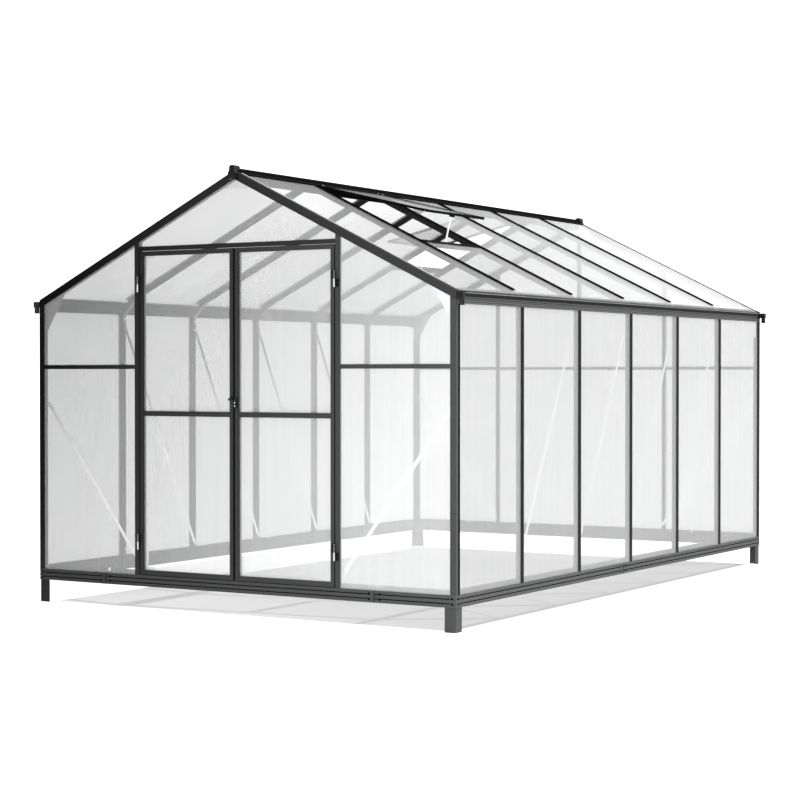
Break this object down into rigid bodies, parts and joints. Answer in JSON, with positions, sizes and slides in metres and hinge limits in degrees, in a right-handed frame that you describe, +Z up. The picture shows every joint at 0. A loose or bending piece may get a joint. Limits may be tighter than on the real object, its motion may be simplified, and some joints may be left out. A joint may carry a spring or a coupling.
{
  "type": "walk-in greenhouse",
  "caption": "Gabled walk-in greenhouse with twin-wall panels in a dark metal frame, double swing doors, ridge vents, gutters and braced walls.",
  "frame": {"origin": "on the ground under the middle of the house's footprint", "axes": "+Z up, the doors face -Y, the ridge runs along Y, +X to the right seen from the doors"},
  "size_m": [2.454, 3.73, 2.108],
  "materials": {
    "frame_paint": "satin dark grey powder coat",
    "glazing": "clear twin-wall polycarbonate with fine flutes",
    "bright_metal": "mill finish",
    "fastener": "zinc plated",
    "hinge_steel": "zinc plated",
    "black_plastic": "gloss moulded"
  },
  "bodies": {
    "house": {"feet": "frame_paint", "base_rails_front": "frame_paint", "base_rails_rear": "frame_paint", "base_rails_right": "frame_paint", "base_rails_left": "frame_paint", "base_splice_plates": "bright_metal", "base_screws": "fastener", "corner_posts": "frame_paint", "wall_bars_right": "frame_paint", "wall_bars_left": "frame_paint", "roof_bars_right": "frame_paint", "roof_bars_left": "frame_paint", "rafters_front": "frame_paint", "rafters_rear": "frame_paint", "ridge_beam": "frame_paint", "ridge_end_caps": "black_plastic", "eave_splice_plates": "bright_metal", "eave_rail_right": "frame_paint", "eave_rail_left": "frame_paint", "gutter_outlets": "black_plastic", "door_jambs": "frame_paint", "door_header": "frame_paint", "front_mid_rails": "frame_paint", "rear_posts": "frame_paint", "rear_mid_rails": "frame_paint", "wall_panels_right": "glazing", "wall_panels_left": "glazing", "roof_panels_right": "glazing", "roof_panels_left": "glazing", "front_panels": "glazing", "rear_panels": "glazing", "wall_braces_right": "bright_metal", "wall_braces_left": "bright_metal", "gable_braces": "bright_metal", "knee_brackets_right": "bright_metal", "knee_brackets_left": "bright_metal", "gable_gussets": "bright_metal", "frame_bolts": "fastener", "hinge_fixed_leaves": "hinge_steel", "vent_sill_right": "frame_paint", "vent_sill_left": "frame_paint"},
    "right_door": {"right_door_stiles": "frame_paint", "right_door_rails": "frame_paint", "right_door_panels": "glazing", "right_door_hinges": "frame_paint", "latch_plate": "black_plastic"},
    "left_door": {"left_door_stiles": "frame_paint", "left_door_rails": "frame_paint", "left_door_panels": "glazing", "left_door_hinges": "frame_paint", "latch_keeper": "black_plastic"},
    "latch": {"latch_lever": "black_plastic"},
    "right_vent": {"vent_sash_right": "frame_paint", "vent_panel_right": "glazing"},
    "left_vent": {"vent_sash_left": "frame_paint", "vent_panel_left": "glazing"},
    "right_stay": {"vent_stay_right": "bright_metal"},
    "left_stay": {"vent_stay_left": "bright_metal"}
  },
  "joints": [
    {"name": "right_door_swing", "type": "hinge", "parent": "house", "child": "right_door", "pos_m": [0.563, -1.855, 0.945], "axis": [0, 0, 1], "range_deg": [0, 165]},
    {"name": "left_door_swing", "type": "hinge", "parent": "house", "child": "left_door", "pos_m": [-0.563, -1.855, 0.945], "axis": [0, 0, -1], "range_deg": [0, 165]},
    {"name": "latch_turn", "type": "hinge", "parent": "right_door", "child": "latch", "pos_m": [0.014, -1.859, 1.012], "axis": [0, 1, 0], "range_deg": [0, 90]},
    {"name": "right_vent_tilt", "type": "hinge", "parent": "house", "child": "right_vent", "pos_m": [0.0346, -0.912, 2.06371], "axis": [0, -1, 0], "range_deg": [-12.8, 0]},
    {"name": "left_vent_tilt", "type": "hinge", "parent": "house", "child": "left_vent", "pos_m": [-0.0346, 0.912, 2.06371], "axis": [0, 1, 0], "range_deg": [-12.8, 0]},
    {"name": "right_stay_fold", "type": "hinge", "parent": "right_vent", "child": "right_stay", "pos_m": [0.63521, -0.912, 1.90939], "axis": [0, -1, 0], "range_deg": [-2.56, 0]},
    {"name": "left_stay_fold", "type": "hinge", "parent": "left_vent", "child": "left_stay", "pos_m": [-0.63521, 0.912, 1.90939], "axis": [0, 1, 0], "range_deg": [-2.56, 0]}
  ],
  "couplings": [
    {"joint": "right_stay_fold", "follows": "right_vent_tilt", "ratio": 0.2},
    {"joint": "left_stay_fold", "follows": "left_vent_tilt", "ratio": 0.2}
  ]
}
